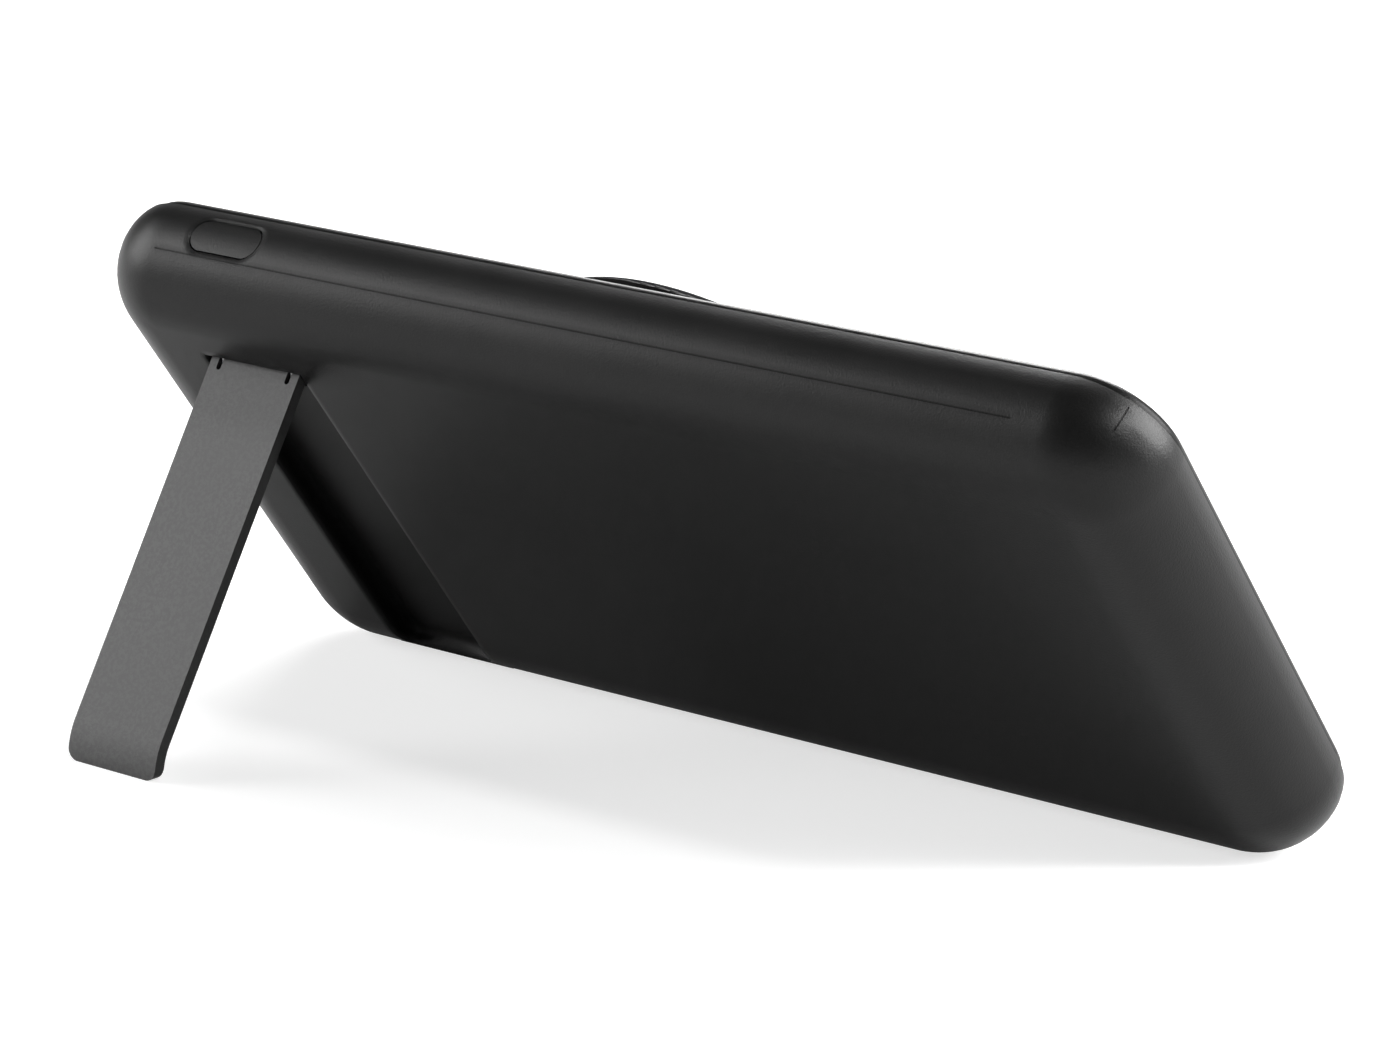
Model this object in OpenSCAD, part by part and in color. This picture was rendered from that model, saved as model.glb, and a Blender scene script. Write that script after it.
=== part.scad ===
// Wireless power bank with a fold-out kickstand, standing on its long edge.
// Every piece is drawn in the device frame: x along the length, y across the width,
// z out of the back face, and the back face itself at z = 0. Depths run down from there.
// posed() then leans the whole device back on its open stand, with the table at z = 0.

/* [Body] */
// Length of the body
body_l = 150; // [146:1:170]
// Width of the body
body_w = 72.4; // [70:0.2:84]
// Depth from the back face to the face of the front cover
body_t = 13.4; // [13.2:0.1:15]
// Corner radius of the outline where it is widest
corner_r = 10.7; // [10.4:0.1:12]
// Radius of the edge rolled round the back face
roll_r = 9.1; // [8.6:0.1:9.6]
// Radius of the curve that draws the sides in below the roll
tuck_r = 6.6; // [6:0.1:9]
// Wall thickness of the back shell
wall = 1.5; // [1.3:0.1:1.7]

/* [Front cover] */
// Thickness of the front cover
cover_t = 1.55; // [1.3:0.05:1.8]
// How far the cover's edge stands in from the widest outline
cover_step = 1.2; // [1:0.1:2]
// Radius on the cover's outer edge
cover_edge_r = 1.3; // [0.6:0.1:1.3]
// Shadow gap between the shell's rim and the cover
seam_gap = 0.15; // [0.05:0.05:0.4]
// Height of the lip that stands into the shell
lip_h = 2; // [1.5:0.1:2.2]
// Thickness of the lip
lip_t = 1; // [0.8:0.1:1.2]
// Clearance of the lip inside the shell's rim
lip_gap = 0.1; // [0.05:0.05:0.2]
// Length of a snap hook
hook_l = 6; // [4:0.5:9]

/* [Charging pad] */
// Centre of the pad along the body
pad_x = 3; // [-5:0.5:5]
// Distance from the widest edge to the raised base of the pad
pad_in = 2.6; // [2.6:0.1:5]
// Height of the raised base
pad_h = 1.4; // [1:0.1:2]
// Step from the edge of the base to the soft skin
skin_step = 0.8; // [0.6:0.1:3]
// Thickness of the soft skin
skin_t = 0.8; // [0.5:0.1:1.2]
// Wall left between the skin and the coil
pad_web = 0.8; // [0.6:0.1:1]
// Wall round the coil's recess
pad_wall = 1.7; // [1.4:0.1:2.5]

/* [Coil and magnets] */
// Outer radius of the charging coil
coil_r = 21.4; // [18:0.1:22]
// Inner radius of the charging coil
coil_in_r = 10; // [8:0.5:13]
// Diameter of the coil's wire
coil_wire = 1; // [0.8:0.1:1.2]
// Thickness of the ferrite sheet
ferrite_t = 0.6; // [0.4:0.1:0.8]
// Outer radius of the magnet ring
magnet_r = 27.6; // [26:0.1:28]
// Radial width of the magnets
magnet_w = 4.2; // [3:0.1:4.6]
// Thickness of the magnets
magnet_t = 1; // [0.8:0.1:1.2]
// Number of magnets round a full ring
magnet_count = 18; // [12:1:24]
// Diameter of the coil's two leads
lead_d = 0.6; // [0.4:0.1:0.6]

/* [Kickstand] */
// Distance from the end of the body to the middle of the stand
stand_in = 23.8; // [23:0.1:28]
// Width of the stand
stand_w = 14.1; // [12:0.1:16]
// Thickness of the stand's plate
stand_t = 1.45; // [1.2:0.05:1.5]
// Distance from the lower edge of the body to where the folded stand's tip starts to curl
curl_in = 12.25; // [11.5:0.05:14]
// Radius of the curled tip's outer face
curl_r = 9.1; // [8:0.1:12]
// Angle at which the stand stops when it is opened
open_angle = 69; // [62:1:74]
// Corner radius at the tip
tip_corner = 1.5; // [0.5:0.1:3]
// Gap between the stand and each side of its pocket
stand_gap = 0.75; // [0.4:0.05:1.2]

/* [Hinge] */
// Distance of the hinge axis from the upper edge of the body
hinge_in = 14.5; // [14:0.1:18]
// Radius of the knuckle, which is also the axis depth
knuckle_r = 1.35; // [1.2:0.05:1.5]
// Diameter of the hinge pin
pin_d = 1.2; // [1:0.1:1.4]
// Radial running clearance on the pin
pin_gap = 0.05; // [0.02:0.01:0.1]
// Distance of each bracket ear from the stand's centre
ear_x = 5.5; // [4:0.1:6]
// Thickness of a bracket ear
ear_t = 0.4; // [0.3:0.05:0.5]
// Width of the slits that let the ears through the stand
slit_w = 0.7; // [0.6:0.05:1]
// Length of a slit beyond the hinge axis
slit_l = 1.95; // [1.6:0.05:3]
// Thickness of the bracket's base
bracket_t = 0.5; // [0.4:0.1:0.8]

/* [Pocket for the stand] */
// Depth of the pocket
pocket_d = 2.85; // [2.7:0.05:3]
// Thickness of the pocket's floor
floor_t = 1.05; // [0.9:0.05:1.2]
// Distance from the widest edge to the pocket's end wall
pocket_end = 5.3; // [4.5:0.1:6]
// Corner radius of the pocket, seen from the back
pocket_corner = 2.2; // [1.5:0.1:3]
// Radius between the pocket's walls and its floor
pocket_fillet = 1; // [0.6:0.1:1.4]
// Radius of the fingertip scoop behind the pocket's end wall
scoop_r = 31; // [26:0.5:36]
// Slope at which the scoop leaves the end wall
scoop_slope = 43; // [38:1:50]
// Depth of the scoop at the end wall
scoop_d = 2.15; // [1.8:0.05:2.3]

/* [Button] */
// Distance from the end of the body to the middle of the button
button_in = 21.4; // [20:0.1:26]
// Depth of the button's centre below the back face
button_z = 7.9; // [7.4:0.1:8.2]
// Length of the button
button_l = 10.6; // [8:0.1:13]
// Height of the button
button_h = 4.05; // [3.4:0.05:4.4]
// Gap round the button
button_gap = 0.2; // [0.1:0.05:0.3]
// How far the button can be pressed
button_travel = 0.3; // [0.2:0.05:0.4]
// Thickness of the flange behind the wall
flange_t = 0.8; // [0.6:0.1:1]

/* [Sockets] */
// Depth of the sockets' centre line below the back face
port_z = 7.4; // [7:0.1:7.8]
// Distance from the upper edge of the body to the middle of the small oval socket
port_c_in = 28.2; // [26:0.1:30]
// Distance from the lower edge of the body to the middle of the wide flat socket
port_a_in = 20.7; // [20:0.1:23]
// Width of the oval socket's metal shell
port_c_w = 8.94; // [8.9:0.01:9]
// Height of the oval socket's metal shell
port_c_h = 3.26; // [3.2:0.01:3.3]
// Length of the oval socket
port_c_l = 7.4; // [7:0.1:9]
// Width of the wide socket's metal shell
port_a_w = 13.1; // [13:0.05:13.3]
// Height of the wide socket's metal shell
port_a_h = 5.7; // [5.6:0.05:5.8]
// Length of the wide socket
port_a_l = 13.6; // [12:0.1:14]
// Thickness of the sockets' sheet metal
port_sheet = 0.3; // [0.25:0.05:0.4]
// Gap between a socket and the hole in the shell
port_gap = 0.25; // [0.15:0.05:0.4]
// How far a socket's mouth lies inside the end of the body
port_sunk = 1.1; // [0.8:0.1:1.4]

/* [Indicator lights] */
// Number of indicator lights
light_count = 4; // [3:1:5]
// Spacing of the lights
light_pitch = 2.6; // [2.2:0.1:3]
// Diameter of a light's window
light_d = 1.2; // [1:0.1:1.6]
// Distance from the upper edge of the body to the middle of the row of lights
light_in = 14.6; // [14:0.1:17]

/* [Board] */
// Depth of the board's upper face below the back face
board_z = 8; // [7.6:0.1:8.2]
// Thickness of the board
board_t = 1; // [0.8:0.1:1.2]
// Distance from the end of the body to the board's inner edge
board_l = 42; // [41.5:0.5:44]
// Gap between the board and the shell
board_gap = 0.5; // [0.3:0.1:0.8]
// Diameter of the board's screw bosses
boss_d = 4.4; // [4:0.1:5]
// Diameter of the board's screws
screw_d = 1.6; // [1.4:0.1:2]

/* [Parting line] */
// Depth of the mould's parting line below the back face
line_z = 5.2; // [4.6:0.1:5.4]
// Width of the parting line
line_w = 0.16; // [0.1:0.02:0.3]
// How deep the parting line is cut
line_d = 0.12; // [0.08:0.02:0.2]
// Distance from the socket end of the body to where the line starts
line_from = 11.5; // [11:0.5:20]
// Distance from where the line stops to the plain end of the body
line_to = 14.5; // [11:0.5:20]
// Direction from the corner's centre to the short line, seen from the back
line_turn = 48; // [30:1:60]
// Length of the short line to each side of the widest depth
line_reach = 1.7; // [1:0.1:1.8]

/* [Battery] */
// Gap between the battery cell and the plain end of the body
cell_end = 9; // [8.5:0.5:20]
// Gap between the battery cell and each long side of the body
cell_side = 6.2; // [6:0.1:12]
// Gap between the board and the battery cell
cell_gap = 3; // [2.5:0.5:6]
// Thickness of the battery cell
cell_t = 9.4; // [8:0.1:9.4]
// Radius on the cell's long edges
cell_edge = 3; // [2.5:0.1:4]
// Thickness of the tape under the cell
tape_t = 0.25; // [0.1:0.05:0.3]

/* [Hidden] */
$fn = 96;

// Colours
black_plastic = [0.05, 0.05, 0.055];
pad_black = [0.035, 0.035, 0.038];
stand_grey = [0.16, 0.16, 0.165];
steel = [0.62, 0.63, 0.65];
nickel = [0.72, 0.71, 0.68];
copper = [0.72, 0.38, 0.2];
ferrite_grey = [0.13, 0.13, 0.14];
board_green = [0.04, 0.19, 0.11];
cell_silver = [0.66, 0.68, 0.7];
foam_grey = [0.25, 0.25, 0.26];
chip_black = [0.06, 0.06, 0.06];
choke_grey = [0.28, 0.28, 0.3];
cap_tan = [0.55, 0.42, 0.27];
clear_white = [0.9, 0.92, 0.92];

// Small distances that cuts run past a face, and that fitted parts stand apart
past = 1;
fit = 0.02;
seat = 0.05;

// The straight middle of the outline, between the centres of its corners
mid_l = body_l / 2 - corner_r;
mid_w = body_w / 2 - corner_r;
rim_d = body_t - cover_t - seam_gap;
cover_in_d = body_t - cover_t;

// Distance of the side's surface from the corner's centre, at depth d, inset from the outside
function side_r(d, inset) = d < roll_r
    ? corner_r - roll_r + sqrt(pow(roll_r - inset, 2) - pow(roll_r - d, 2))
    : corner_r - tuck_r + sqrt(pow(tuck_r - inset, 2) - pow(d - roll_r, 2));

// The stand, its pocket and the lean
stand_x = -body_l / 2 + stand_in;
hinge_y = body_w / 2 - hinge_in;
hinge_z = knuckle_r;
stand_l = hinge_y + body_w / 2 - curl_in;
pad_r = body_w / 2 - pad_in;
skin_r = pad_r - skin_step;
pocket_w = stand_w + 2 * stand_gap;
pocket_low = -body_w / 2 + pocket_end;
knuckle_gap = 0.3;
slot_top = hinge_y + knuckle_r + knuckle_gap;
hinge_d = 2 * knuckle_r + knuckle_gap;
hinge_l = 2 * knuckle_r + 2 * knuckle_gap;
block_d = hinge_d + floor_t;
along = [-cos(open_angle), sin(open_angle)];
across = [sin(open_angle), cos(open_angle)];
curl_y = hinge_y + along[0] * stand_l + across[0] * (knuckle_r - curl_r);
curl_z = -hinge_z + along[1] * stand_l + across[1] * (knuckle_r - curl_r);
roll_y = -(body_w / 2 - roll_r);
reach_y = curl_y - roll_y;
reach_z = curl_z + roll_r;
reach = norm([reach_y, reach_z]);
lean = 180 - atan2(reach_z, reach_y) - acos(roll_r / reach);
tip_curl = open_angle - lean;
foot_past = 4;

// Where the device stands: on the table, and centred over the origin
lift = roll_r - roll_y * cos(lean) - roll_r * sin(lean);
foot_y = -curl_y * sin(lean) - curl_z * cos(lean) - curl_r;
cover_reach = (body_w / 2 - cover_step - cover_edge_r) * sin(lean)
    + (body_t - cover_edge_r) * cos(lean) + cover_edge_r;
skin_edge = 0.4;
skin_reach = (skin_r - skin_edge) * sin(lean) + (body_t + pad_h + skin_t - skin_edge) * cos(lean)
    + skin_edge;
pad_edge = 0.5;
pad_reach = (pad_r - pad_edge) * sin(lean) + (body_t + pad_h - pad_edge) * cos(lean) + pad_edge;
shift = -(foot_y + max(cover_reach, skin_reach, pad_reach)) / 2;

// Button
button_x = -body_l / 2 + button_in;
button_seat = body_w / 2 - 1.85;
button_sunk = 0.1;
flange_side = 0.9;
plunger_d = 1.6;
plunger_z = board_z - 1.3;
nub_l = 0.4;
switch_front = button_seat - flange_t - nub_l - 0.9;
switch_l = 6;
switch_w = 3.4;
switch_h = 2.6;

// Sockets and lights
port_mouth = -body_l / 2 + port_sunk;
port_c_y = body_w / 2 - port_c_in;
port_a_y = -body_w / 2 + port_a_in;
port_notch = 1.5;
tab_w = 1;
tab_t = 0.3;
tab_l = 2;
tab_in = 3.4;
tongue_c_w = 6.7;
tongue_c_t = 0.7;
tongue_a_w = 11.1;
tongue_a_t = 1.84;
tongue_in = 0.8;
light_y = body_w / 2 - light_in;
light_z = board_z - 0.7;
pipe_bar = 1.1;
pipe_front = -body_l / 2 + wall + 0.5;
pipe_back = pipe_front + pipe_bar;
led_size = 1;
led_h = 0.8;

// Board fixings
board_x = -body_l / 2 + board_l;
boss_side = 9.9;
boss_end = 10.9;
boss_inner = 4;
boss_y = body_w / 2 - boss_side;
boss_places = [for (x = [-body_l / 2 + boss_end, board_x - boss_inner], y = [-boss_y, boss_y]) [x, y]];
screw_head_d = 3;
screw_head_h = 0.9;
screw_grip = 4;
recess_w = 0.3;
bracket_boss_x = pocket_w / 2 + 2.6;
bracket_boss_d = 4;
bracket_l = 2 * bracket_boss_x + 3.8;
bracket_w = 4.6;
bracket_screw_d = 1.4;
bracket_head_d = 2.6;
bracket_head_h = 0.6;
bracket_grip = 2.2;
ear_w = 2.4;

// Parts on the board
choke_w = 7.2;
choke_h = 2.8;
chip_w = 5;
chip_h = 0.9;
cap_l = 2;

// Pad and coil
pad_floor = body_t + pad_h - pad_web;
pad_in_r = pad_r - pad_wall;
coil_top = pad_floor - seat;
coil_turns = floor((coil_r - coil_in_r) / (coil_wire * 0.95));
backplate_t = 0.4;
ring_gap = 22;
lead_y = 1.5;
cell_low = wall + tape_t + cell_t;
cell_x = board_x + cell_gap;
cell_l = body_l / 2 - cell_end - cell_x;
cell_w = body_w - 2 * cell_side;
tape_l = cell_l * 0.3;
tape_in = cell_side * 1.3;
foam_r = coil_r * 0.65;
cell_stop_d = 5.5;
cell_tab_y = cell_w / 5;
cell_tab_w = 4;
cell_tab_t = 0.2;

// Snap hooks: place along the edge, and the turn of the side they are on
hook_places = [[-30, 0], [12, 0], [52, 0], [-30, 180], [12, 180], [52, 180]];
hook_h = 0.8;
hook_d = rim_d - 1.3;
hook_out = side_r(hook_d, wall) + 0.3;
lip_r = side_r(rim_d, wall) - lip_gap;

// Half of a section through the body, from the corner's centre outwards
module half_section(inset, top, low) {
    intersection() {
        translate([0, -roll_r]) square([corner_r, roll_r - top]);
        union() {
            translate([corner_r - roll_r, -roll_r]) circle(r = roll_r - inset);
            translate([0, -roll_r]) square([corner_r - roll_r, roll_r]);
        }
    }
    intersection() {
        translate([0, -low]) square([corner_r, low - roll_r]);
        union() {
            translate([corner_r - tuck_r, -roll_r]) circle(r = tuck_r - inset);
            translate([0, -low]) square([corner_r - tuck_r, low - roll_r]);
        }
    }
}

// Sweeps a half section round an outline with straight halves l and w between corner centres
module swept(l, w, top, low) {
    rotate([90, 0, 90]) linear_extrude(2 * l, center = true) {
        for (m = [0, 1]) mirror([m, 0]) translate([w, 0]) children();
        translate([-w, -low]) square([2 * w, low - top]);
    }
    for (m = [0, 1]) mirror([m, 0, 0]) {
        translate([l, 0, 0]) rotate([90, 0, 0]) linear_extrude(2 * w, center = true) children();
        for (n = [0, 1]) mirror([0, n, 0]) translate([l, w, 0]) rotate_extrude(angle = 90) children();
    }
}

// The outer form of the back shell down to a depth, inset from the outside
module shell_form(inset, top, low) {
    swept(mid_l, mid_w, top, low) half_section(inset, top, low);
}

// Stands the device on the table, leaning on its stand
module posed() {
    translate([0, shift, lift]) rotate([90 + lean, 0, 0]) children();
}

// A bar with half-round ends, lying along x in the xz plane and running along y
module oval_y(l, h, from, to) {
    for (s = [-1, 1]) translate([s * (l - h) / 2, to, 0]) rotate([90, 0, 0])
        cylinder(d = h, h = to - from);
    translate([-(l - h) / 2, from, -h / 2]) cube([l - h, to - from, h]);
}

// The same bar lying along y and running along x
module oval_x(w, h, from, to) {
    for (s = [-1, 1]) translate([from, s * (w - h) / 2, 0]) rotate([0, 90, 0])
        cylinder(d = h, h = to - from);
    translate([from, -(w - h) / 2, -h / 2]) cube([to - from, w - h, h]);
}

// Pocket for the stand, with rounded corners and a fillet round its floor
module stand_pocket() {
    half_l = (slot_top - 1 - pocket_low) / 2 - pocket_corner;
    half_w = pocket_w / 2 - pocket_corner;
    translate([stand_x, (slot_top - 1 + pocket_low) / 2, 0])
        swept(half_w, half_l, -past, pocket_d) pocket_section();
    translate([stand_x - pocket_w / 2, slot_top - hinge_l, -hinge_d])
        cube([pocket_w, hinge_l, hinge_d + past]);
}

module pocket_section() {
    in_r = pocket_corner - pocket_fillet;
    translate([0, -pocket_d + pocket_fillet]) square([pocket_corner, pocket_d - pocket_fillet + past]);
    translate([0, -pocket_d]) square([in_r, pocket_fillet + seat]);
    translate([in_r, -pocket_d + pocket_fillet]) intersection() {
        circle(r = pocket_fillet);
        translate([0, -pocket_fillet]) square(pocket_fillet);
    }
}

// Dished scoop behind the end wall that lets a fingertip under the stand's tip
module finger_scoop() {
    reach = 0.3;
    intersection() {
        translate([stand_x, pocket_low + scoop_r * sin(scoop_slope), scoop_r * cos(scoop_slope) - scoop_d])
            sphere(r = scoop_r);
        translate([stand_x - pocket_w / 2, pocket_low - pocket_end, -scoop_d - past])
            cube([pocket_w, pocket_end + reach, scoop_d + 2 * past]);
    }
}

// Thin line that the mould leaves along the upper side, and a short one down a corner at the plain end
module parting_line() {
    side = mid_w + side_r(line_z, 0) - line_d;
    translate([-body_l / 2 + line_from, side, -line_z - line_w / 2])
        cube([body_l - line_from - line_to, past, line_w]);
    translate([mid_l, mid_w, 0]) rotate([0, 0, line_turn]) rotate([90, 0, 0])
        linear_extrude(line_w, center = true) difference() {
            translate([corner_r - past, -roll_r - line_reach]) square([2 * past, 2 * line_reach]);
            half_section(line_d, line_d, rim_d + past);
        }
}

module bracket_places() {
    for (s = [-1, 1]) translate([stand_x + s * bracket_boss_x, hinge_y, 0]) children();
}

module ear_slots() {
    slot_w = ear_t + 0.4;
    for (s = [-1, 1])
        translate([stand_x + s * ear_x - slot_w / 2, hinge_y - ear_w / 2 - 0.2, -block_d - past])
            cube([slot_w, ear_w + 0.4, block_d + past - hinge_z]);
}

module hooks(grow) {
    for (p = hook_places) rotate([0, 0, p[1]])
        translate([(p[1] == 0 ? p[0] : -p[0]) - hook_l / 2 - grow, mid_w + lip_r - lip_t / 2, -hook_d - grow])
            cube([hook_l + 2 * grow, hook_out + grow - lip_r + lip_t / 2, hook_h + 2 * grow]);
}

module back_shell() color(black_plastic) posed() difference() {
    union() {
        difference() {
            shell_form(0, 0, rim_d);
            shell_form(wall, wall, rim_d + past);
        }
        translate([stand_x - pocket_w / 2 - wall, pocket_low - 1, -block_d])
            cube([pocket_w + 2 * wall, slot_top + wall - pocket_low + 1, block_d - wall + 0.2]);
        for (p = boss_places) translate([p[0], p[1], -board_z]) cylinder(d = boss_d, h = board_z - wall / 2);
        bracket_places() translate([0, 0, -block_d]) cylinder(d = bracket_boss_d, h = block_d - wall / 2);
        translate([cell_x - 1.3, -cell_w * 0.4, -cell_stop_d])
            cube([1, cell_w * 0.8, cell_stop_d - wall / 2]);
    }
    stand_pocket();
    finger_scoop();
    ear_slots();
    for (p = boss_places) translate([p[0], p[1], -board_z - past])
        cylinder(d = screw_d + 2 * fit, h = screw_grip + past + seat);
    bracket_places() translate([0, 0, -block_d - past])
        cylinder(d = bracket_screw_d + 2 * fit, h = bracket_grip + past + seat);
    translate([button_x, 0, -button_z]) {
        oval_y(button_l + 2 * button_gap, button_h + 2 * button_gap, button_seat - past, body_w / 2 + past);
        translate([-button_l / 2 - flange_side - 0.4, button_seat - 4, -button_h / 2 - flange_side - 0.3])
            cube([button_l + 2 * flange_side + 0.8, 4 + seat, button_h + 2 * flange_side + 0.6]);
    }
    translate([0, port_c_y, -port_z])
        oval_x(port_c_w + 2 * port_gap, port_c_h + 2 * port_gap, -body_l / 2 - past, -body_l / 2 + 6);
    translate([-body_l / 2 - past, port_a_y - port_a_w / 2 - port_gap, -port_z - port_a_h / 2 - port_gap])
        cube([past + 6, port_a_w + 2 * port_gap, port_a_h + 2 * port_gap]);
    light_places() translate([-body_l / 2 - past, 0, -light_z]) rotate([0, 90, 0])
        cylinder(d = light_d + 2 * 0.05, h = wall + 2 * past);
    hooks(0.1);
    parting_line();
}

module light_places() {
    for (i = [0 : light_count - 1])
        translate([0, light_y + (i - (light_count - 1) / 2) * light_pitch, 0]) children();
}

// Section of the front cover's edge, from the corner's centre outwards
module cover_section() {
    out_r = corner_r - cover_step;
    translate([0, -body_t]) square([out_r - cover_edge_r, cover_t]);
    translate([0, -body_t + cover_edge_r]) square([out_r, cover_t - cover_edge_r]);
    translate([out_r - cover_edge_r, -body_t + cover_edge_r]) intersection() {
        circle(r = cover_edge_r);
        translate([0, -cover_edge_r]) square(cover_edge_r);
    }
}

module lip_section(r) {
    translate([0, -cover_in_d - 0.3]) square([r, lip_h + 0.3]);
}

module front_cover() color(black_plastic) posed() difference() {
    union() {
        swept(mid_l, mid_w, cover_in_d, body_t) cover_section();
        difference() {
            swept(mid_l, mid_w, cover_in_d - lip_h, cover_in_d + 0.3) lip_section(lip_r);
            swept(mid_l, mid_w, cover_in_d - lip_h - past, cover_in_d + 0.3)
                translate([0, past]) lip_section(lip_r - lip_t);
            translate([-body_l / 2, port_a_y - port_a_w / 2 - port_notch, -cover_in_d])
                cube([port_sunk + port_a_l, port_a_w + 2 * port_notch, lip_h + past]);
            translate([button_x - button_l / 2 - flange_side - 0.6, mid_w, -cover_in_d])
                cube([button_l + 2 * flange_side + 1.2, corner_r, lip_h + past]);
        }
        translate([pad_x, 0, 0]) rotate_extrude() pad_section();
        hooks(0);
    }
    translate([pad_x, 0, -pad_floor]) cylinder(r = pad_in_r, h = pad_floor - cover_in_d + past);
}

module pad_section() {
    low = body_t + pad_h;
    translate([0, -low]) square([pad_r - pad_edge, pad_h + cover_t / 2]);
    translate([0, -low + pad_edge]) square([pad_r, pad_h + cover_t / 2 - pad_edge]);
    translate([pad_r - pad_edge, -low + pad_edge]) circle(r = pad_edge);
}

module pad_skin() color(pad_black) posed() translate([pad_x, 0, 0]) rotate_extrude() {
    top = body_t + pad_h;
    low = top + skin_t;
    translate([0, -low]) square([skin_r - skin_edge, skin_t]);
    translate([0, -low + skin_edge]) square([skin_r, skin_t - skin_edge]);
    translate([skin_r - skin_edge, -low + skin_edge]) intersection() {
        circle(r = skin_edge);
        translate([0, -skin_edge]) square(skin_edge);
    }
}

// Arc magnets round the coil, with a gap where its leads come out
module magnet_ring() color(nickel) posed() {
    step = (360 - 2 * ring_gap) / magnet_count;
    translate([pad_x, 0, -coil_top]) for (i = [0 : magnet_count - 1])
        rotate([0, 0, -180 + ring_gap + i * step + 0.6]) rotate_extrude(angle = step - 1.2)
            translate([magnet_r - magnet_w, 0]) square([magnet_w, magnet_t]);
}

module magnet_backplate() color(steel) posed() translate([pad_x, 0, -coil_top + magnet_t])
    rotate([0, 0, -180 + ring_gap]) rotate_extrude(angle = 360 - 2 * ring_gap)
        translate([magnet_r - magnet_w, 0]) square([magnet_w, backplate_t]);

// Flat winding of round wire, its turns bonded side by side
module charging_coil() color(copper) posed() translate([pad_x, 0, -coil_top + coil_wire / 2])
    rotate_extrude() {
        pitch = (coil_r - coil_in_r - coil_wire) / (coil_turns - 1);
        for (i = [0 : coil_turns - 1])
            translate([coil_in_r + coil_wire / 2 + i * pitch, 0]) circle(d = coil_wire, $fn = 24);
    }

module ferrite_sheet() color(ferrite_grey) posed() translate([pad_x, 0, -coil_top + coil_wire])
    cylinder(r = coil_r + 0.4, h = ferrite_t);

// Two leads from the coil, through the ring's gap and up to the underside of the board
module coil_leads() color(copper) posed() {
    start = pad_x - coil_r + 0.4;
    bend = pad_x - pad_in_r + 2.5;
    low = coil_top - coil_wire - ferrite_t - lead_d / 2 - fit;
    level = (cover_in_d + cell_low) / 2;
    end = board_x - 3;
    for (y = [-lead_y, lead_y]) translate([0, y, 0]) {
        wire([start + 3, 0, -low], [bend, 0, -low]);
        wire([bend, 0, -low], [bend, 0, -level]);
        wire([bend, 0, -level], [end, 0, -level]);
        wire([end, 0, -level], [end, 0, -board_z - board_t - lead_d / 2]);
    }
}

// A straight stretch of lead along x or z, with round ends
module wire(a, b) {
    run = norm(b - a);
    for (p = [a, b]) translate(p) sphere(d = lead_d, $fn = 24);
    if (a[2] == b[2]) translate([min(a[0], b[0]), a[1], a[2]]) rotate([0, 90, 0])
        cylinder(d = lead_d, h = run, $fn = 24);
    if (a[0] == b[0]) translate([a[0], a[1], min(a[2], b[2])])
        cylinder(d = lead_d, h = run, $fn = 24);
}

module coil_foam() color(foam_grey) posed() {
    top = cell_low + seat;
    low = coil_top - coil_wire - ferrite_t - seat;
    translate([pad_x + foam_r / 5, 0, -low]) cylinder(r = foam_r, h = low - top);
}

module battery_cell() color(cell_silver) posed() translate([cell_x, 0, -wall - tape_t - cell_t])
    rotate([90, 0, 90]) linear_extrude(cell_l) {
        translate([-cell_w / 2 + cell_edge, 0]) square([cell_w - 2 * cell_edge, cell_t]);
        translate([-cell_w / 2, cell_edge]) square([cell_w, cell_t - 2 * cell_edge]);
        for (s = [-1, 1], z = [cell_edge, cell_t - cell_edge])
            translate([s * (cell_w / 2 - cell_edge), z]) circle(r = cell_edge);
    }

module cell_tape() color(foam_grey) posed() for (x = [tape_in, cell_l - tape_in - tape_l])
    translate([cell_x + x, -cell_w / 2 + tape_in, -wall - tape_t])
        cube([tape_l, cell_w - 2 * tape_in, tape_t]);

// Nickel tabs that step down from the cell to the board
module cell_tabs() color(nickel) posed() {
    t = cell_tab_t;
    high = -board_z + cell_gap / 2;
    step = cell_gap / 2;
    foot = board_x - 2 * cell_gap;
    for (y = [-cell_tab_y, cell_tab_y]) translate([0, y + cell_tab_w / 2, 0]) rotate([90, 0, 0])
        linear_extrude(cell_tab_w) polygon([
            [cell_x, high], [board_x - 1, high], [board_x - 1 - step, -board_z], [foot, -board_z],
            [foot, -board_z + t], [board_x - 0.9 - step, -board_z + t], [board_x - 0.9, high + t],
            [cell_x, high + t]
        ]);
}

module main_board() color(board_green) posed() difference() {
    intersection() {
        translate([0, 0, -board_z - board_t]) linear_extrude(board_t) board_outline();
        translate([-body_l / 2, -body_w / 2, -body_t]) cube([board_l, body_w, body_t]);
    }
    translate([button_x - button_l / 2 - 2, switch_front + 0.3, -body_t])
        cube([button_l + 4, body_w / 2, body_t]);
    translate([-body_l / 2, port_c_y - port_c_w / 2 - 0.1, -body_t])
        cube([port_sunk + port_c_l + 0.2, port_c_w + 0.2, body_t]);
    translate([-body_l / 2, port_a_y - port_a_w / 2 - 0.1, -body_t])
        cube([port_sunk + port_a_l + 0.2, port_a_w + 0.2, body_t]);
    for (p = boss_places) translate([p[0], p[1], -body_t]) cylinder(d = screw_d + 0.3, h = body_t);
}

module board_outline() {
    r = corner_r - wall - board_gap;
    for (x = [-mid_l, mid_l], y = [-mid_w, mid_w]) translate([x, y]) circle(r = r);
    translate([-mid_l, -mid_w - r]) square([2 * mid_l, 2 * (mid_w + r)]);
    translate([-mid_l - r, -mid_w]) square([2 * (mid_l + r), 2 * mid_w]);
}

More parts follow.
